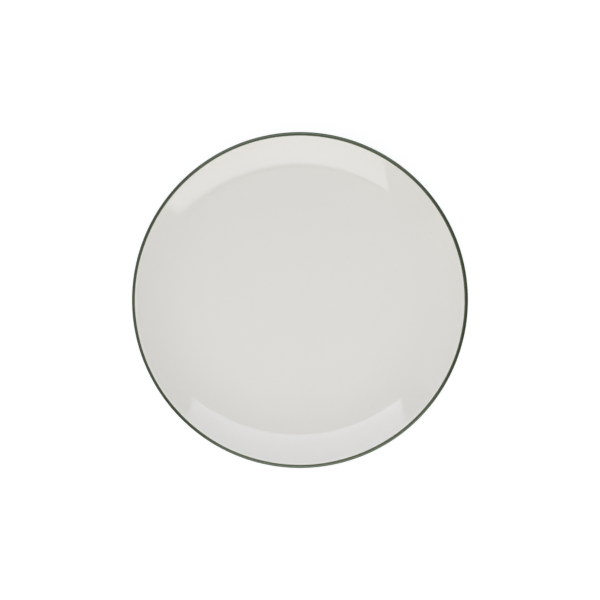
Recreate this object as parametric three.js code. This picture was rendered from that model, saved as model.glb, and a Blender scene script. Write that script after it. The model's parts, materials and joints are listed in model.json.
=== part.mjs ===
// A coupe dinner plate: one fired clay body with its foot ring, and the glaze coats fused to it.
// Millimetres, +Z up. The origin is the middle of the circle that the foot ring rests on.
// Every piece is turned about the Z axis from an outline of (radius, height) points. Outlines run
// up the outside, over the lip and in to the axis, so that the material is always on their left.

import * as THREE from 'three';

// Driving dimensions
const DIAMETER = 267;
const WELL_RADIUS = 82; // the flat middle of the eating side
const WALL_CURVE = 70; // radius of the wall's arc on the eating side
const OUTER_CURVE = 76; // radius of the wall's arc on the outside
const WELL_THICKNESS = 4.8; // glaze included
const LIP_INNER_ROUND = 3.2;
const LIP_OUTER_ROUND = 2;
const FOOT_RADIUS = 77; // to the middle of the foot's resting face
const FOOT_WIDTH = 3.2; // of the resting face
const FOOT_HEIGHT = 2.5;
const FOOT_BEVEL = 0.5;
const FOOT_FLARE = 0.35; // how much each side of the foot spreads per millimetre of height
const GLAZE_THICKNESS = 0.4;
const BARE_HEIGHT = 1.1; // the foot is wiped clean of glaze up to here
const BAND_OVER_CROWN = 0.35; // how far the lip's band reaches past the crown, towards the well
const BAND_DEPTH = 6; // how far the band reaches down the outside, from the top of the lip

// How finely the round stretches are stepped
const TURN_STEPS = 64;
const WALL_STEPS = 6;
const LIP_STEPS = 4;
const SHORT_STEPS = 2;

// Worked out from the driving dimensions: each wall arc runs tangent into the lip's rounding.
const QUARTER_TURN = Math.PI / 2;
const crownRadius = DIAMETER / 2 - LIP_OUTER_ROUND;
const wellHeight = FOOT_HEIGHT + WELL_THICKNESS;
const wallAngle = Math.asin((crownRadius - WELL_RADIUS) / (WALL_CURVE + LIP_INNER_ROUND));
const lipHeight = wellHeight + (WALL_CURVE + LIP_INNER_ROUND) * (1 - Math.cos(wallAngle));
const outerAngle = angleOfRise(lipHeight - LIP_OUTER_ROUND - FOOT_HEIGHT, LIP_OUTER_ROUND);
const outerCentreRadius = crownRadius - (OUTER_CURVE - LIP_OUTER_ROUND) * Math.sin(outerAngle);
const bandOuterAngle = angleOfRise(lipHeight - BAND_DEPTH - FOOT_HEIGHT, 0);
const bandInnerTurn = Math.asin(BAND_OVER_CROWN / LIP_INNER_ROUND);

// The slope at which a curve held inside the outer wall's arc by a margin has climbed to a height.
function angleOfRise(height, margin) {
  return Math.acos((OUTER_CURVE - height) / (OUTER_CURVE - margin));
}

// Points along an arc. Angles are counted from the outward direction, towards +Z.
function arc(centreRadius, centreHeight, radius, from, to, steps) {
  return Array.from({ length: steps + 1 }, (_, i) => {
    const angle = THREE.MathUtils.lerp(from, to, i / steps);
    return new THREE.Vector2(
      centreRadius + radius * Math.cos(angle),
      centreHeight + radius * Math.sin(angle),
    );
  });
}

// An outer-wall arc between two slopes, steep or flat, measured from level.
function outerWallArc(from, to, steps) {
  const height = FOOT_HEIGHT + OUTER_CURVE;
  return arc(outerCentreRadius, height, OUTER_CURVE, from - QUARTER_TURN, to - QUARTER_TURN, steps);
}

// A point on the foot's side, at a height. side is 1 on the outside and -1 on the inside, and
// cover is the glaze thickness on it there.
function footSide(side, height, cover) {
  const spread = FOOT_WIDTH / 2 + FOOT_FLARE * (height - FOOT_BEVEL) + FOOT_BEVEL;
  const glaze = cover * Math.hypot(1, FOOT_FLARE);
  return new THREE.Vector2(FOOT_RADIUS + side * (spread + glaze), height);
}

// The outline sunk into the material on its left by a depth, mitred at its corners.
function sunk(outline, depth) {
  const intoMaterial = (a, b) => new THREE.Vector2(a.y - b.y, b.x - a.x).normalize();
  return outline.map((point, i) => {
    const before = outline[i - 1] ?? point;
    const after = outline[i + 1] ?? point;
    const first = i > 0 ? intoMaterial(before, point) : intoMaterial(point, after);
    const second = after !== point ? intoMaterial(point, after) : first;
    const mitre = first.clone().add(second).divideScalar(1 + first.dot(second));
    return mitre.multiplyScalar(depth).add(point);
  });
}

// Stretches of one outline, each starting where the last one ended.
function joined(...stretches) {
  return stretches.flatMap((stretch, i) => (i ? stretch.slice(1) : stretch));
}

// The closed outline of a coat between its skin and the clay under it.
function coatOutline(skin, clay) {
  const back = clay.toReversed();
  if (skin[0].x === 0) return [...skin, ...back];
  if (back[0].x === 0) return [...back, ...skin];
  return [...skin, ...back, skin[0]];
}

// A named mesh turned from an outline, standing along +Z.
function turned(name, outline, material) {
  const geometry = new THREE.LatheGeometry(outline, TURN_STEPS).rotateX(QUARTER_TURN);
  const mesh = new THREE.Mesh(geometry, material);
  mesh.name = name;
  return mesh;
}

// The glazed skins, in order: inside the foot ring, then from the foot up the outside, round the
// lip's band, and down the eating side to the middle.
const baseSkin = [
  new THREE.Vector2(0, FOOT_HEIGHT),
  footSide(-1, FOOT_HEIGHT, GLAZE_THICKNESS),
  footSide(-1, BARE_HEIGHT, GLAZE_THICKNESS),
];
const outsideSkin = [
  footSide(1, BARE_HEIGHT, GLAZE_THICKNESS),
  footSide(1, FOOT_HEIGHT, GLAZE_THICKNESS),
  ...outerWallArc(0, bandOuterAngle, WALL_STEPS),
];
const outerLipCentre = lipHeight - LIP_OUTER_ROUND;
const innerLipCentre = lipHeight - LIP_INNER_ROUND;
const bandSkin = joined(
  outerWallArc(bandOuterAngle, outerAngle, 1),
  arc(crownRadius, outerLipCentre, LIP_OUTER_ROUND, outerAngle - QUARTER_TURN, 0, SHORT_STEPS),
  arc(crownRadius, outerLipCentre, LIP_OUTER_ROUND, 0, QUARTER_TURN, LIP_STEPS),
  arc(crownRadius, innerLipCentre, LIP_INNER_ROUND, QUARTER_TURN, QUARTER_TURN + bandInnerTurn, 1),
);
const insideSkin = joined(
  arc(
    crownRadius,
    innerLipCentre,
    LIP_INNER_ROUND,
    QUARTER_TURN + bandInnerTurn,
    QUARTER_TURN + wallAngle,
    SHORT_STEPS,
  ),
  arc(WELL_RADIUS, wellHeight + WALL_CURVE, WALL_CURVE, wallAngle - QUARTER_TURN, -QUARTER_TURN, WALL_STEPS),
  [new THREE.Vector2(WELL_RADIUS, wellHeight), new THREE.Vector2(0, wellHeight)],
);

// The clay's surface under the glaze, split where one coat ends and the next begins.
const clayUnderBase = sunk(baseSkin, GLAZE_THICKNESS);
const clayUnderWall = sunk(joined(outsideSkin, bandSkin, insideSkin), GLAZE_THICKNESS);
const bandStart = outsideSkin.length - 1;
const bandEnd = bandStart + bandSkin.length - 1;
const clayUnderOutside = clayUnderWall.slice(0, bandStart + 1);
const clayUnderBand = clayUnderWall.slice(bandStart, bandEnd + 1);
const clayUnderInside = clayUnderWall.slice(bandEnd);

// The foot's resting face and the small bevels on its two edges.
const bareFoot = [
  footSide(-1, FOOT_BEVEL, 0),
  new THREE.Vector2(FOOT_RADIUS - FOOT_WIDTH / 2, 0),
  new THREE.Vector2(FOOT_RADIUS + FOOT_WIDTH / 2, 0),
  footSide(1, FOOT_BEVEL, 0),
];

// The finishes
const bareClay = new THREE.MeshStandardMaterial({ color: 0xd9cdb8, roughness: 0.8, metalness: 0 });
const whiteGlaze = new THREE.MeshStandardMaterial({ color: 0xdcdad5, roughness: 0.08, metalness: 0 });
const greenGlaze = new THREE.MeshStandardMaterial({ color: 0x555b45, roughness: 0.42, metalness: 0 });

const plate = new THREE.Group();
plate.add(
  turned('clay_body', [...clayUnderBase, ...bareFoot, ...clayUnderWall], bareClay),
  turned('inside_glaze', coatOutline(insideSkin, clayUnderInside), whiteGlaze),
  turned('rim_band', coatOutline(bandSkin, clayUnderBand), greenGlaze),
  turned('outside_glaze', coatOutline(outsideSkin, clayUnderOutside), greenGlaze),
  turned('base_glaze', coatOutline(baseSkin, clayUnderBase), greenGlaze),
);

export default plate;
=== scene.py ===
"""A coupe dinner plate in gloss white and satin green, made in a potter's order: the clay with its
foot ring first, then each coat of glaze over its own stretch of the clay.

The clay's outline is one line of (radius, height) points in metres. It starts on the axis inside
the foot ring, goes round the foot, up the outside and over the lip, and ends on the axis in the
well. Every piece is that line, or a stretch of it, turned about the Z axis."""

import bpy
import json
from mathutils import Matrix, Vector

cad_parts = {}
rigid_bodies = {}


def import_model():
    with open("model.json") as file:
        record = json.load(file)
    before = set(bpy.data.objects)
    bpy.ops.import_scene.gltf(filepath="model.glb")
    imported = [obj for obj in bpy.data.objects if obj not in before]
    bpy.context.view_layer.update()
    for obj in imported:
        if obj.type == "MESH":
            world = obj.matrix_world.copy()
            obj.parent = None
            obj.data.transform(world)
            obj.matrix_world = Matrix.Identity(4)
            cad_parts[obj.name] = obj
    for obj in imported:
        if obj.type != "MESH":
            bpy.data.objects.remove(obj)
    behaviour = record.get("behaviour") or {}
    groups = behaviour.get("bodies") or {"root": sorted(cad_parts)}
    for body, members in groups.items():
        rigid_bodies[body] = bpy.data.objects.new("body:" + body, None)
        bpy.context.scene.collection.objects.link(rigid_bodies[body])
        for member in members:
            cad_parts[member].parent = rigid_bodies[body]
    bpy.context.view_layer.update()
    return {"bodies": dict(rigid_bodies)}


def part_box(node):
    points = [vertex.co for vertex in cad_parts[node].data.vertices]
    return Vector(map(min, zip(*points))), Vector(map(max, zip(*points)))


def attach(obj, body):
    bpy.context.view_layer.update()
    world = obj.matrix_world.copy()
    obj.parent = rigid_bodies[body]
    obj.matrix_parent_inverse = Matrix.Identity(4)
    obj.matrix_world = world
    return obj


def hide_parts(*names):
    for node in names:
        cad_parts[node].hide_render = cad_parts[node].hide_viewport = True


bl_info = {
    "name": "Coupe Dinner Plate",
    "version": (1, 0, 0),
    "blender": (4, 5, 0),
    "location": "3D View > Sidebar > Plate",
    "description": "A two-tone dinner plate turned round its packed model, and a studio to show it in",
    "category": "Object",
}

import json
import math

import bpy
import numpy as np
from bpy.props import FloatProperty, FloatVectorProperty, IntProperty, PointerProperty
from mathutils import Vector

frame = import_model()

MM = 0.001
FULL_TURN = 2 * math.pi
QUARTER_TURN = math.pi / 2
TOUCHING = 1e-7  # metres: closer points of an outline are one point
SHARP_EDGE = math.radians(50)
EDGE_DISTANCE = "from_edge"  # the mesh attribute that gives a coat's distance from its edge, in mm

# How finely an outline is stepped
FLAT_STEP = 6 * MM
OUTER_WALL_STEP = 1.2 * MM
INNER_WALL_STEP = 1 * MM
FOOT_FACE_STEP = 1 * MM
SMALL_STEP = 0.15 * MM
ROUND_STEP = 0.12 * MM
UNDERSIDE_STEP = 3  # a coat's underside, which the clay hides, keeps every third point of its skin
EDGE_STEPS = np.concatenate((np.linspace(0, 0.2, 9), np.linspace(0.25, 0.8, 9))) * MM

# How the glazes end
BAND_STRAY = math.radians(35)  # the direction in which the band's edge strays
BAND_ROLL = 0.35 * MM  # how far in from its edges the band reaches its full height
BAND_FOLLOW = 1.5 * MM  # how far from the band's edge the points on both sides still follow it
WIPED_ROLL = 0.5 * MM  # how far in from a wiped edge the glaze reaches its full thickness
WIPED_FOLLOW = 1.2 * MM
WIPED_WAVER = 0.05 * MM

# What the finishes share
GLOSS_IOR = 1.5
BAND_SHEEN = {"IOR": 2.0, "Specular Tint": (0.85, 1, 0.72, 1)}
CREAM_SHARE = (0.993, 0.989, 0.977)  # how much of the white the cream clouds keep
IRON_BROWN = (0.16, 0.12, 0.08)

# The studio round the plate. Its lengths are in metres.
TABLE_HEIGHT = -0.1 * MM  # a hair under the foot, so that no two faces lie in one plane
TABLE_REACH = 10
BACKDROP_HEIGHT = 4
BACKDROP_LEVEL = 0.93
TABLE_GREY = (0.3, 0.3, 0.3, 1)
TABLE_ROUGHNESS = 0.9
WHITE = (1, 1, 1)

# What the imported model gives
BODY = next(iter(frame["bodies"]))
PLATE_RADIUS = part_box("rim_band")[1].x
LIP_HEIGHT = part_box("rim_band")[1].z
BAND_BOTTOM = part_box("rim_band")[0].z
GLAZE = PLATE_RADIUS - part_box("clay_body")[1].x
WELL_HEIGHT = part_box("inside_glaze")[0].z + GLAZE
RECESS_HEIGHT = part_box("base_glaze")[1].z - GLAZE
BARE_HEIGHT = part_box("outside_glaze")[0].z


def length(name, description, default):
    """A property that holds a length in metres."""
    return FloatProperty(name=name, description=description, default=default, min=0, unit="LENGTH")


def share(name, description, default, most=1.0):
    """A property that holds a plain number from 0 up."""
    return FloatProperty(name=name, description=description, default=default, min=0, max=most)


def colour(name, description, default):
    """A property that holds a linear colour."""
    return FloatVectorProperty(
        name=name, description=description, default=default, subtype="COLOR", size=3, min=0, max=1
    )


class PlateSizes(bpy.types.PropertyGroup):
    """Sizes of the outline that the nodes' boxes don't give."""

    well_radius: length("Well radius", "Flat middle of the eating side", 82 * MM)
    lip_inner_round: length("Lip rounding, eating side", "Radius of the glazed lip there", 3.2 * MM)
    lip_outer_round: length("Lip rounding, outside", "Radius of the glazed lip there", 2 * MM)
    outer_curve: length("Outer wall curve", "Radius of the wall's arc on the outside", 76 * MM)
    foot_radius: length("Foot radius", "To the middle of the foot's resting face", 77 * MM)
    foot_width: length("Foot width", "The foot's width before its edges are rounded", 4.2 * MM)
    foot_flare: share("Foot flare", "How much each side of the foot spreads with height", 0.35)
    foot_rounding: length("Foot rounding", "Radius of the foot's lower edges", 0.7 * MM)
    foot_cove: length("Foot cove", "Radius where the foot runs into the body", 0.9 * MM)
    band_width: length("Band width", "Green lip band seen from above, at its mean", 2.55 * MM)
    band_drift: length("Band drift", "How far the hand-laid band strays to one side", 0.22 * MM)
    band_relief: length("Band relief", "How far the band stands out of the white glaze", 0.05 * MM)
    turns: IntProperty(name="Turns", description="Steps round the axis", default=360, min=24)


class PlateFinish(bpy.types.PropertyGroup):
    """Colours and glosses."""

    white: colour("White glaze", "Gloss glaze of the eating side", (0.826, 0.802, 0.734))
    band: colour("Band", "Satin band where it lies thick", (0.008, 0.013, 0.003))
    band_pale: colour("Band, pale", "Satin band where it lies thin", (0.018, 0.027, 0.007))
    green: colour("Green glaze", "Outside glaze where it lies thick", (0.034, 0.047, 0.018))
    green_pale: colour("Green glaze, pale", "Outside glaze where it lies thin", (0.062, 0.078, 0.036))
    green_break: colour("Glaze break", "Where green glaze thins out at an edge", (0.080, 0.068, 0.022))
    clay: colour("Bare clay", "The unglazed foot", (0.66, 0.58, 0.46))
    clay_dark: colour("Bare clay, toasted", "Its darker grains and patches", (0.40, 0.31, 0.21))
    white_roughness: share("White roughness", "Of the gloss glaze", 0.035)
    band_roughness: share("Band roughness", "Of the satin band", 0.3)
    green_roughness: share("Green roughness", "Of the satin glaze outside", 0.34)
    clay_roughness: share("Clay roughness", "Of the bare foot", 0.85)


class StudioLook(bpy.types.PropertyGroup):
    """Light and camera. Levels are radiance, where 1 is a white page in full light."""

    air: share("Air", "Level of the studio's walls", 0.292, 10)
    ceiling: share("Ceiling", "How much brighter the ceiling is than the walls", 0.344, 10)
    front_level: share("Front light", "Level of the soft box in front of the plate", 2.32, 10)
    back_level: share("Back light", "Level of the soft box behind the plate", 2.63, 10)
    side_level: share("Side light", "Level of the dim soft box at the side", 0.75, 10)
    floor_glow: share("Floor glow", "How much the lit table top shines by itself", 0.82, 10)
    front_distance: length("Front distance", "From the plate's axis to the front light", 0.75)
    back_distance: length("Back distance", "From the plate's axis to the back light", 1.3)
    side_distance: length("Side distance", "From the plate's axis to the side light", 1.0)
    lens: FloatProperty(name="Lens", description="Focal length in millimetres", default=100, min=10)
    frame_fill: share("Frame fill", "The plate's share of the picture's width", 0.5605)


# Outlines ------------------------------------------------------------------------------------


def line(start, end, pitch):
    """Points from start to end, about a pitch apart."""
    start, end = np.array(start, float), np.array(end, float)
    count = max(1, round(np.linalg.norm(end - start) / pitch))
    return start + np.linspace(0, 1, count + 1)[:, None] * (end - start)


def arc(centre, radius, start, end, pitch):
    """Points along an arc. Angles are counted from the outward direction towards +Z."""
    count = max(2, round(abs(end - start) * radius / pitch))
    angle = np.linspace(start, end, count + 1)
    return np.array(centre) + radius * np.column_stack((np.cos(angle), np.sin(angle)))


def rounded(before, corner, after, radius, pitch):
    """The arc that rounds off a corner between two straight runs."""
    back, onward = ((p - corner) / np.linalg.norm(p - corner) for p in (before, after))
    half = math.acos(back @ onward) / 2
    middle = (back + onward) / np.linalg.norm(back + onward)
    centre = corner + middle * radius / math.sin(half)
    spokes = [corner + side * radius / math.tan(half) - centre for side in (back, onward)]
    start, end = (math.atan2(height, out) for out, height in spokes)
    end = start + (end - start + math.pi) % FULL_TURN - math.pi
    return arc(centre, radius, start, end, pitch)


class Outline:
    """A line of (radius, height) points in named stretches, walked by the distance along it."""

    def __init__(self, stretches):
        points = np.concatenate(list(stretches.values()))
        names = np.repeat(list(stretches), [len(s) for s in stretches.values()])
        apart = np.linalg.norm(np.diff(points, axis=0), axis=1) > TOUCHING
        fresh = np.concatenate(([True], apart))
        self.points, self.names = points[fresh], names[fresh]
        steps = np.linalg.norm(np.diff(self.points, axis=0), axis=1)
        self.along = np.concatenate(([0], np.cumsum(steps)))
        outward, upward = (np.gradient(self.points[:, k], self.along) for k in (0, 1))
        self.normals = np.column_stack((upward, -outward)) / np.hypot(outward, upward)[:, None]

    def station(self, stretch, height):
        """Where a stretch that climbs or falls all the way is at a height."""
        own = self.names == stretch
        order = np.argsort(self.points[own, 1])
        return np.interp(height, self.points[own, 1][order], self.along[own][order])

    def start(self, stretch):
        """Where a stretch starts."""
        return self.along[self.names == stretch][0]

    def raised(self, along, height):
        """The points at those distances, raised out of the surface by a height."""
        point, normal = (
            np.stack([np.interp(along, self.along, table[:, k]) for k in (0, 1)], axis=-1)
            for table in (self.points, self.normals)
        )
        return point + normal * np.asarray(height)[..., None]


def foot_side(sizes, side, height):
    """A corner of the foot's section. side is 1 on the outside and -1 on the inside."""
    spread = sizes.foot_width / 2 + sizes.foot_flare * height
    return np.array((sizes.foot_radius + side * spread, height))


def clay_outline(sizes):
    """The clay's surface, a glaze's thickness under the finished one where there is a glaze."""
    recess, well = RECESS_HEIGHT + GLAZE, WELL_HEIGHT - GLAZE
    crown = PLATE_RADIUS - sizes.lip_outer_round
    outer_lip = (crown, LIP_HEIGHT - sizes.lip_outer_round)
    inner_lip = (crown, LIP_HEIGHT - sizes.lip_inner_round)

    # The inner wall's arc leaves the flat well and runs into the lip's rounding.
    rise, reach = LIP_HEIGHT - WELL_HEIGHT, crown - sizes.well_radius
    inner_slope = 2 * math.atan(rise / reach)
    inner_curve = reach / math.sin(inner_slope) - sizes.lip_inner_round
    inner_centre = (sizes.well_radius, WELL_HEIGHT + inner_curve)

    # The outer wall's arc leaves the base level and runs into the lip's rounding.
    drop = RECESS_HEIGHT + sizes.outer_curve - outer_lip[1]
    span = sizes.outer_curve - sizes.lip_outer_round
    outer_slope = math.acos(drop / span)
    outer_centre = (crown - span * math.sin(outer_slope), RECESS_HEIGHT + sizes.outer_curve)

    axis, wall_start = np.array((0, recess)), np.array((outer_centre[0], recess))
    corners = [axis]
    corners += [foot_side(sizes, -1, recess), foot_side(sizes, -1, 0)]
    corners += [foot_side(sizes, 1, 0), foot_side(sizes, 1, recess), wall_start]
    radii = (sizes.foot_cove, sizes.foot_rounding, sizes.foot_rounding, sizes.foot_cove)
    rounds = [
        rounded(*corners[i : i + 3], radius, ROUND_STEP) for i, radius in enumerate(radii)
    ]
    return Outline(
        {
            "recess": line(axis, rounds[0][0], FLAT_STEP),
            "foot_inside": np.concatenate(
                (rounds[0], line(rounds[0][-1], rounds[1][0], SMALL_STEP), rounds[1])
            ),
            "foot_face": line(rounds[1][-1], rounds[2][0], FOOT_FACE_STEP),
            "foot_outside": np.concatenate(
                (rounds[2], line(rounds[2][-1], rounds[3][0], SMALL_STEP), rounds[3])
            ),
            "outer_wall": arc(
                outer_centre,
                sizes.outer_curve - GLAZE,
                -QUARTER_TURN,
                outer_slope - QUARTER_TURN,
                OUTER_WALL_STEP,
            ),
            "outer_lip": arc(
                outer_lip,
                sizes.lip_outer_round - GLAZE,
                outer_slope - QUARTER_TURN,
                QUARTER_TURN,
                SMALL_STEP,
            ),
            "inner_lip": arc(
                inner_lip,
                sizes.lip_inner_round - GLAZE,
                QUARTER_TURN,
                QUARTER_TURN + inner_slope,
                ROUND_STEP,
            ),
            "inner_wall": arc(
                inner_centre,
                inner_curve + GLAZE,
                inner_slope - QUARTER_TURN,
                -QUARTER_TURN,
                INNER_WALL_STEP,
            ),
            "well": line((sizes.well_radius, well), (0, well), FLAT_STEP),
        }
    )


# Turned pieces -------------------------------------------------------------------------------


def directions(sizes):
    """The angles round the axis at which a piece's outline is drawn."""
    return np.arange(sizes.turns) * FULL_TURN / sizes.turns


def turned_piece(name, outlines, closed, from_edge, node, material):
    """A piece turned from one outline for each direction round the axis. It rides on the plate's
    body and stands for its node. from_edge is a distance for each point, in metres."""
    turns, count = outlines.shape[:2]
    angle = (np.arange(turns) * FULL_TURN / turns)[:, None]
    out, height = outlines[..., 0], outlines[..., 1]
    places = np.stack((out * np.cos(angle), out * np.sin(angle), height), axis=-1).reshape(-1, 3)
    index = np.arange(turns * count).reshape(turns, count)
    on_axis = out.max(axis=0) < TOUCHING
    index[:, on_axis] = index[0, on_axis]
    used, index = np.unique(index, return_inverse=True)
    index = index.reshape(turns, count)
    if closed:
        index = np.concatenate((index, index[:, :1]), axis=1)
    onward = np.roll(index, -1, axis=0)
    corners = (index[:, :-1], onward[:, :-1], onward[:, 1:], index[:, 1:])
    faces = [list(dict.fromkeys(f)) for f in np.stack(corners, axis=-1).reshape(-1, 4).tolist()]

    mesh = bpy.data.meshes.new(name)
    mesh.from_pydata(places[used].tolist(), [], faces)
    mesh.validate()
    edge = mesh.attributes.new(EDGE_DISTANCE, "FLOAT", "POINT")
    edge.data.foreach_set("value", (from_edge.ravel()[used] / MM).astype(np.float32))
    mesh.shade_smooth()
    mesh.set_sharp_from_angle(angle=SHARP_EDGE)
    mesh.materials.append(material)
    piece = bpy.data.objects.new(name, mesh)
    bpy.context.scene.collection.objects.link(piece)
    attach(piece, BODY)
    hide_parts(node)
    return piece


def coat(name, outline, along, thickness, from_edge, node, material):
    """A coat of glaze over a stretch of the clay, as a closed shell. along, thickness and
    from_edge hold a value for each direction and each point of the stretch."""
    last = along.shape[1] - 1
    skin = outline.raised(along, thickness)
    under = [i for i in range(last + 1) if i % UNDERSIDE_STEP == 0 or i == last]
    under = [i for i in reversed(under) if thickness[:, i].max() > TOUCHING]
    back = outline.raised(along[:, under], np.zeros_like(along[:, under]))
    parts = [(skin, from_edge), (back, from_edge[:, under])]
    if skin[0, -1, 0] < TOUCHING:
        parts.reverse()  # the whole outline then starts and ends on the axis
    closed = all(abs(skin[0, end, 0]) > TOUCHING for end in (0, -1))
    outlines = np.concatenate([p[0] for p in parts], axis=1)
    edges = np.concatenate([p[1] for p in parts], axis=1)
    return turned_piece(name, outlines, closed, edges, node, material)


def stretch(outline, start, end):
    """The outline's own points between two stations, with finer steps beside both of them."""
    first, last = start + EDGE_STEPS, end - EDGE_STEPS
    inside = outline.along[(outline.along > first[-1]) & (outline.along < last[-1])]
    return np.concatenate((first, inside, last[::-1]))


def following(along, edge, reach):
    """Stations that keep to a wavering edge, in each direction. How much they shift with it fades
    out at a reach from the edge's mean."""
    fade = np.clip(1 - abs(along - edge.mean()) / reach, 0, 1)
    return along + (edge - edge.mean())[:, None] * fade


def fullness(distance, width):
    """How full a coat is at a distance from its free edge: it rises like the side of a drop."""
    near = np.clip(distance / width, 0, 1)
    return np.sqrt(near * (2 - near))


def waves(angle, *each):
    """A sum of waves round the axis. Each one is given as how many there are round it, its height
    and its phase."""
    return sum(height * np.sin(count * angle + phase) for count, height, phase in each)


def band_edge(sizes, outline):
    """Where the lip's band ends on the eating side, in each direction: its hand-laid edge strays
    to one side, runs wider at the front and back, and wavers a little."""
    angle = directions(sizes)
    stray = np.cos(angle - BAND_STRAY) - 0.3 * np.cos(2 * angle)
    stray += waves(angle, (5, 0.18, 1.0), (11, 0.12, 2.3), (23, 0.08, 0.7))
    past_crown = sizes.band_width - sizes.lip_outer_round + sizes.band_drift * stray
    turn = np.arcsin(past_crown / sizes.lip_inner_round)
    return outline.start("inner_lip") + turn * (sizes.lip_inner_round - GLAZE)


def wiped_edge(sizes, station):
    """Where a sponge has wiped the foot clean of glaze, in each direction."""
    waver = waves(directions(sizes), (4, 1.0, 0.4), (9, 0.7, 1.9), (17, 0.5, 0.0))
    return station + WIPED_WAVER * waver


# Materials -----------------------------------------------------------------------------------


class Value:
    """One output of a node. Sums on it add Math nodes."""

    def __init__(self, graph, socket):
        self.graph = graph
        self.socket = socket

    def __add__(self, other):
        return self.graph.math("ADD", self, other)

    def __radd__(self, other):
        return self.graph.math("ADD", other, self)

    def __sub__(self, other):
        return self.graph.math("SUBTRACT", self, other)

    def __rsub__(self, other):
        return self.graph.math("SUBTRACT", other, self)

    def __mul__(self, other):
        return self.graph.math("MULTIPLY", self, other)

    def __rmul__(self, other):
        return self.graph.math("MULTIPLY", other, self)

    def __truediv__(self, other):
        return self.graph.math("DIVIDE", self, other)

    def __rtruediv__(self, other):
        return self.graph.math("DIVIDE", other, self)


class Graph:
    """The node tree of a material or a world, written as Python calls and sums."""

    MIX_COLOURS = {"data_type": "RGBA"}
    MIX_FACTOR, MIX_FIRST, MIX_SECOND, MIX_COLOUR = 0, 6, 7, 2

    def __init__(self, tree):
        self.tree = tree
        tree.nodes.clear()

    def node(self, kind, settings=None, sockets=None, output=0):
        """Adds a node. Its settings come first, then each socket's value or link."""
        made = self.tree.nodes.new(kind)
        for name, value in (settings or {}).items():
            setattr(made, name, value)
        for name, value in (sockets or {}).items():
            if isinstance(value, Value):
                self.tree.links.new(value.socket, made.inputs[name])
            else:
                made.inputs[name].default_value = value
        return Value(self, made.outputs[output]) if len(made.outputs) else None

    def math(self, operation, first, second):
        """One Math node. Sums on values call it."""
        return self.node("ShaderNodeMath", {"operation": operation}, {0: first, 1: second})

    def between(self, value, low, high):
        """0 below low, 1 above high, and smooth between them."""
        return self.node(
            "ShaderNodeMapRange",
            {"interpolation_type": "SMOOTHSTEP"},
            {"Value": value, "From Min": low, "From Max": high},
        )

    def mix(self, factor, first, second):
        """The first colour where factor is 0 and the second where it is 1."""
        first, second = (c if isinstance(c, Value) else (*c, 1) for c in (first, second))
        sockets = {self.MIX_FACTOR: factor, self.MIX_FIRST: first, self.MIX_SECOND: second}
        return self.node("ShaderNodeMix", self.MIX_COLOURS, sockets, self.MIX_COLOUR)

    def place(self):
        """The point's place on the plate, in metres."""
        return self.node("ShaderNodeTexCoord", output="Object")

    def clouds(self, grain, detail=2.0):
        """Soft noise from 0 to 1, with patches about a grain across, in metres."""
        sockets = {"Vector": self.place(), "Scale": 1 / grain, "Detail": detail}
        return self.node("ShaderNodeTexNoise", None, sockets)

    def specks(self, spacing, radius):
        """1 in small round specks that lie about a spacing apart in depth and across."""
        sockets = {"Vector": self.place(), "Scale": 1 / spacing}
        distance = self.node("ShaderNodeTexVoronoi", None, sockets)
        return 1 - self.between(distance, 0.6 * radius / spacing, radius / spacing)

    def from_edge(self):
        """The coat's distance from its edge, in millimetres."""
        return self.node("ShaderNodeAttribute", {"attribute_name": EDGE_DISTANCE}, output="Fac")

    def bump(self, height, relief):
        """A normal from a height that goes from 0 to 1 over a relief in metres."""
        return self.node("ShaderNodeBump", None, {"Height": height, "Distance": relief})


def new_material(name):
    """A material and its graph, still empty."""
    made = bpy.data.materials.new(name)
    made.use_nodes = True
    return made, Graph(made.node_tree)


def material(name, sockets):
    """A material from what sockets() returns for its Principled BSDF."""
    made, graph = new_material(name)
    surface = graph.node("ShaderNodeBsdfPrincipled", None, sockets(graph))
    graph.node("ShaderNodeOutputMaterial", None, {"Surface": surface})
    return made


def white_glaze(finish):
    """Gloss white: faint clouds in the colour, sparse iron specks and a barely uneven surface."""

    def sockets(graph):
        cream = [level * kept for level, kept in zip(finish.white, CREAM_SHARE)]
        tint = graph.mix(graph.clouds(45 * MM), finish.white, cream)
        iron = graph.specks(8 * MM, 0.2 * MM) * 0.7 + graph.specks(3.5 * MM, 0.16 * MM) * 0.3
        ripples = graph.clouds(14 * MM) + 0.15 * graph.clouds(2.5 * MM)
        return {
            "Base Color": graph.mix(iron, tint, IRON_BROWN),
            "Roughness": finish.white_roughness + 0.015 * graph.clouds(6 * MM),
            "IOR": GLOSS_IOR,
            "Normal": graph.bump(ripples, 0.012 * MM),
        }

    return material("white_gloss_glaze", sockets)


def green_glaze(name, thick, pale, thin, roughness, sheen):
    """Satin green: mottled, and broken to a warm olive where it thins out at an edge. sheen gives
    the surface's own constant values, such as how strongly it reflects."""

    def sockets(graph):
        patches = graph.clouds(7 * MM, 4) * 0.7 + graph.clouds(1.1 * MM) * 0.3
        mottle = graph.between(patches, 0.35, 0.65)
        edge = 1 - graph.between(graph.from_edge(), 0.1, 0.7)
        fine = graph.clouds(1.6 * MM, 3) + 0.25 * graph.clouds(0.35 * MM)
        return {
            "Base Color": graph.mix(edge * 0.8, graph.mix(mottle, thick, pale), thin),
            "Roughness": roughness + 0.08 * (graph.clouds(3 * MM) - 0.5),
            "Normal": graph.bump(fine, 0.02 * MM),
            **sheen,
        }

    return material(name, sockets)


def band_glaze(finish):
    """The lip's band: dark, with a strong green sheen from the metal oxides in it."""
    colours = (finish.band, finish.band_pale, finish.green_break)
    return green_glaze("green_band_glaze", *colours, finish.band_roughness, BAND_SHEEN)


def outer_glaze(name, finish):
    """The green of the outside and of the base."""
    colours = (finish.green, finish.green_pale, finish.green_break)
    return green_glaze(name, *colours, finish.green_roughness, {"IOR": GLOSS_IOR})


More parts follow.
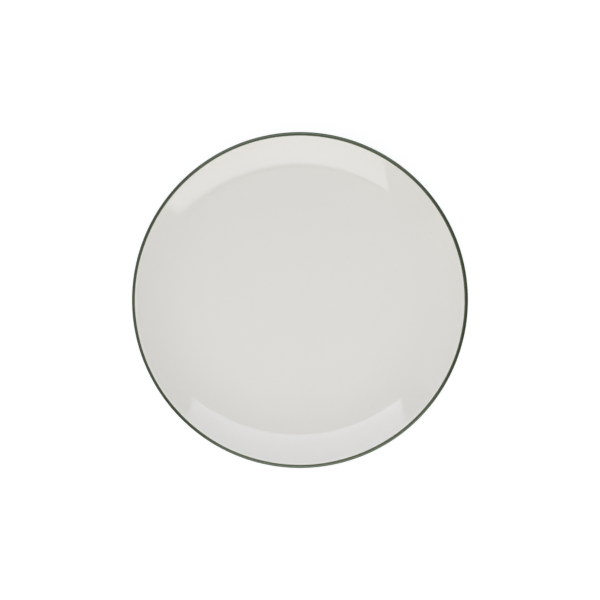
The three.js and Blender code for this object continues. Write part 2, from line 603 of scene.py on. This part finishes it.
def bare_clay(finish):
    """Unglazed fired clay: sandy, with darker grains."""

    def sockets(graph):
        grains = graph.between(graph.clouds(0.5 * MM, 3), 0.5, 0.7)
        patches = graph.clouds(9 * MM)
        return {
            "Base Color": graph.mix(0.45 * grains + 0.25 * patches, finish.clay, finish.clay_dark),
            "Roughness": finish.clay_roughness + 0.1 * (grains - 0.5),
            "IOR": GLOSS_IOR,
            "Normal": graph.bump(graph.clouds(0.6 * MM, 4), 0.12 * MM),
        }

    return material("bare_clay", sockets)


# Operators -----------------------------------------------------------------------------------


class PLATE_OT_clay_body(bpy.types.Operator):
    """Turn the clay body with its foot ring"""

    bl_idname = "plate.clay_body"
    bl_label = "Clay Body"

    def execute(self, context):
        sizes, finish = context.scene.plate_sizes, context.scene.plate_finish
        outline = clay_outline(sizes)
        outlines = np.tile(outline.points, (sizes.turns, 1, 1))
        flat = np.zeros(outlines.shape[:2])
        clay = bare_clay(finish)
        turned_piece("clay_body_turned", outlines, False, flat, "clay_body", clay)
        return {"FINISHED"}


class PLATE_OT_inside_glaze(bpy.types.Operator):
    """Lay the gloss white glaze over the well, the wall and the inner half of the lip"""

    bl_idname = "plate.inside_glaze"
    bl_label = "Inside Glaze"

    def execute(self, context):
        sizes, finish = context.scene.plate_sizes, context.scene.plate_finish
        outline = clay_outline(sizes)
        edge = band_edge(sizes, outline)
        along = stretch(outline, edge.mean(), outline.along[-1])
        along = following(along, edge, BAND_FOLLOW)
        from_edge = along - edge[:, None]
        coat(
            "inside_glaze_coat",
            outline,
            along,
            np.full_like(along, GLAZE),
            from_edge,
            "inside_glaze",
            white_glaze(finish),
        )
        return {"FINISHED"}


class PLATE_OT_rim_band(bpy.types.Operator):
    """Lay the satin green band over the lip"""

    bl_idname = "plate.rim_band"
    bl_label = "Rim Band"

    def execute(self, context):
        sizes, finish = context.scene.plate_sizes, context.scene.plate_finish
        outline = clay_outline(sizes)
        start, edge = outline.station("outer_wall", BAND_BOTTOM), band_edge(sizes, outline)
        along = following(stretch(outline, start, edge.mean()), edge, BAND_FOLLOW)
        to_edge = edge[:, None] - along
        from_ends = np.minimum(to_edge, along - start)
        thickness = GLAZE + sizes.band_relief * fullness(from_ends, BAND_ROLL)
        coat(
            "rim_band_coat",
            outline,
            along,
            thickness,
            to_edge,
            "rim_band",
            band_glaze(finish),
        )
        return {"FINISHED"}


class PLATE_OT_outside_glaze(bpy.types.Operator):
    """Lay the satin green glaze down the outside wall to the foot"""

    bl_idname = "plate.outside_glaze"
    bl_label = "Outside Glaze"

    def execute(self, context):
        sizes, finish = context.scene.plate_sizes, context.scene.plate_finish
        outline = clay_outline(sizes)
        end = outline.station("outer_wall", BAND_BOTTOM)
        edge = wiped_edge(sizes, outline.station("foot_outside", BARE_HEIGHT))
        along = following(stretch(outline, edge.mean(), end), edge, WIPED_FOLLOW)
        from_edge = along - edge[:, None]
        coat(
            "outside_glaze_coat",
            outline,
            along,
            GLAZE * fullness(from_edge, WIPED_ROLL),
            from_edge,
            "outside_glaze",
            outer_glaze("green_outside_glaze", finish),
        )
        return {"FINISHED"}


class PLATE_OT_base_glaze(bpy.types.Operator):
    """Lay the satin green glaze inside the foot ring"""

    bl_idname = "plate.base_glaze"
    bl_label = "Base Glaze"

    def execute(self, context):
        sizes, finish = context.scene.plate_sizes, context.scene.plate_finish
        outline = clay_outline(sizes)
        edge = wiped_edge(sizes, outline.station("foot_inside", BARE_HEIGHT))
        along = following(stretch(outline, 0, edge.mean()), edge, WIPED_FOLLOW)
        to_edge = edge[:, None] - along
        coat(
            "base_glaze_coat",
            outline,
            along,
            GLAZE * fullness(to_edge, WIPED_ROLL),
            to_edge,
            "base_glaze",
            outer_glaze("green_base_glaze", finish),
        )
        return {"FINISHED"}


def stage_sheet(name, corners, faces, made):
    """A sheet of the studio, which isn't part of the plate."""
    mesh = bpy.data.meshes.new(name)
    mesh.from_pydata(corners, [], faces)
    mesh.materials.append(made)
    sheet = bpy.data.objects.new(name, mesh)
    bpy.context.scene.collection.objects.link(sheet)
    return sheet


def shining(name, tint, strength, spread=None):
    """A material that only shines. spread() gives the share of its strength that each place on it
    has, from the graph."""
    made, graph = new_material(name)
    shade = graph.mix(spread(graph), (0, 0, 0), tint) if spread else (*tint, 1)
    glow = graph.node("ShaderNodeEmission", None, {"Color": shade, "Strength": strength})
    graph.node("ShaderNodeOutputMaterial", None, {"Surface": glow})
    return made


def soft_box(name, facing, distance, foot, top, heights, tint, strength, spread=None):
    """An upright soft light at a distance from the plate's axis, which looks along facing. foot
    and top give its two ends there, and heights its top's height at each end, as shares of the
    distance. spread(graph, along, height) gives the share of its strength at a place on it."""
    along = Vector((abs(facing.y), abs(facing.x), 0))

    def corner(end, height):
        return (end * along - facing + height * Vector((0, 0, 1))) * distance

    corners = [corner(*end) for end in zip(top, heights)]
    corners += [corner(end, 0) for end in reversed(foot)]

    def spread_by_place(graph):
        apart = graph.node("ShaderNodeSeparateXYZ", None, {0: graph.place()}).socket.node.outputs
        side = Value(graph, apart["X" if facing.y else "Y"]) / distance
        return spread(graph, side, Value(graph, apart["Z"]) / distance)

    made = shining(name, tint, strength, spread_by_place if spread else None)
    box = stage_sheet(name, corners, [(0, 1, 2, 3)], made)
    box.visible_camera = False
    return box


def studio_air(look):
    """The soft light from all round: even at the walls, brighter overhead and dimmer below."""
    world = bpy.data.worlds.new("studio_air")
    world.use_nodes = True
    graph = Graph(world.node_tree)
    direction = graph.node("ShaderNodeTexCoord", output="Generated")
    up = graph.node("ShaderNodeSeparateXYZ", None, {0: direction}, output="Z")
    overhead = graph.math("POWER", graph.math("MAXIMUM", up, 0.0), 4.0)
    walls = 0.4 + 0.6 * graph.between(up, -0.3, 0.0)
    level = look.air * walls + look.ceiling * overhead
    air = graph.node("ShaderNodeBackground", None, {"Color": level})
    graph.node("ShaderNodeOutputWorld", None, {"Surface": air})
    return world


def table_corners():
    """The square that the table top covers, in order round it."""
    return [(x * TABLE_REACH, y * TABLE_REACH) for x, y in ((-1, -1), (1, -1), (1, 1), (-1, 1))]


def set_table(look):
    """A wide pale table top, which the glazes don't mirror."""

    def sockets(graph):
        return {
            "Base Color": TABLE_GREY,
            "Roughness": TABLE_ROUGHNESS,
            "Specular IOR Level": 0.0,
            "Emission Color": (*WHITE, 1),
            "Emission Strength": look.floor_glow,
        }

    corners = [(*corner, TABLE_HEIGHT) for corner in table_corners()]
    top = stage_sheet("table_top", corners, [(0, 1, 2, 3)], material("table_top", sockets))
    top.visible_glossy = False


def set_backdrop():
    """A pale wall round the table, which lights nothing and only shows behind the plate."""
    corners = [(*corner, TABLE_HEIGHT) for corner in table_corners()]
    corners += [(*corner, BACKDROP_HEIGHT) for corner in table_corners()]
    walls = [(i, (i + 1) % 4, (i + 1) % 4 + 4, i + 4) for i in range(4)]
    wall = stage_sheet("backdrop", corners, walls, shining("backdrop", WHITE, BACKDROP_LEVEL))
    wall.visible_diffuse = False
    wall.visible_glossy = False
    wall.visible_shadow = False


def front_spread(graph, along, height):
    """Dimmer low down and at its left, with a sloping top edge that is softer to the right and an
    end that fades out."""
    softness = graph.math("MAXIMUM", 0.15 + 0.13 * along, 0.05)
    top_edge = 1.325 - 0.077 * along
    past_top = graph.between(height, top_edge - softness, top_edge + softness)
    past_end = graph.between(along, 1.30, 1.55)
    low = 0.75 + 0.25 * graph.between(height, 0.1, 0.8)
    left = 0.8 + 0.2 * graph.between(along, -0.75, -0.05)
    return low * left * (1 - past_top) * (1 - past_end)


def back_spread(graph, along, height):
    """Brighter towards its top, in two steps."""
    middle = 0.22 * graph.between(height, 0.2, 0.8)
    return 0.45 + middle + 0.33 * graph.between(height, 0.8, 1.45)


def set_camera(scene, look):
    """A camera straight above, far enough for the plate to fill its share of the picture."""
    camera = bpy.data.objects.new("camera", bpy.data.cameras.new("camera"))
    scene.collection.objects.link(camera)
    camera.data.lens = look.lens
    picture_width = 2 * PLATE_RADIUS / look.frame_fill
    distance = picture_width * look.lens / camera.data.sensor_width
    camera.location = (0, 0, LIP_HEIGHT + distance)
    scene.camera = camera


class PLATE_OT_studio(bpy.types.Operator):
    """Set up the table top, the soft lights and the camera straight above"""

    bl_idname = "plate.studio"
    bl_label = "Studio"

    def execute(self, context):
        scene, look = context.scene, context.scene.plate_studio
        scene.view_settings.view_transform = "Standard"
        scene.world = studio_air(look)
        set_table(look)
        set_backdrop()
        soft_box(
            "front_light",
            Vector((0, 1, 0)),
            look.front_distance,
            foot=(-0.53, 1.56),
            top=(-0.85, 1.56),
            heights=(1.51, 1.60),
            tint=(0.98, 1, 1.06),
            strength=look.front_level,
            spread=front_spread,
        )
        soft_box(
            "back_light",
            Vector((0, -1, 0)),
            look.back_distance,
            foot=(-0.81, 0.90),
            top=(-1.03, 1.10),
            heights=(1.453, 1.203),
            tint=(0.96, 1, 1.13),
            strength=look.back_level,
            spread=back_spread,
        )
        soft_box(
            "side_light",
            Vector((1, 0, 0)),
            look.side_distance,
            foot=(-0.62, 0.70),
            top=(-0.62, 0.70),
            heights=(1.40, 1.40),
            tint=WHITE,
            strength=look.side_level,
        )
        set_camera(scene, look)
        return {"FINISHED"}


class PLATE_PT_panel(bpy.types.Panel):
    """The plate's steps, in the order they are made"""

    bl_label = "Coupe Dinner Plate"
    bl_idname = "PLATE_PT_panel"
    bl_space_type = "VIEW_3D"
    bl_region_type = "UI"
    bl_category = "Plate"

    def draw(self, context):
        for group in (context.scene.plate_sizes, context.scene.plate_finish, context.scene.plate_studio):
            box = self.layout.box()
            for name in group.__annotations__:
                box.prop(group, name)
        for step in STEPS:
            self.layout.operator(step.bl_idname)


GROUPS = {"plate_sizes": PlateSizes, "plate_finish": PlateFinish, "plate_studio": StudioLook}
STEPS = (
    PLATE_OT_clay_body,
    PLATE_OT_inside_glaze,
    PLATE_OT_rim_band,
    PLATE_OT_outside_glaze,
    PLATE_OT_base_glaze,
    PLATE_OT_studio,
)


def register():
    for made in (*GROUPS.values(), *STEPS, PLATE_PT_panel):
        bpy.utils.register_class(made)
    for name, group in GROUPS.items():
        setattr(bpy.types.Scene, name, PointerProperty(type=group))


def unregister():
    for name in GROUPS:
        delattr(bpy.types.Scene, name)
    for made in reversed((*GROUPS.values(), *STEPS, PLATE_PT_panel)):
        bpy.utils.unregister_class(made)


def main():
    register()
    for step in STEPS:
        family, name = step.bl_idname.split(".")
        getattr(getattr(bpy.ops, family), name)()


if __name__ == "__main__":
    main()
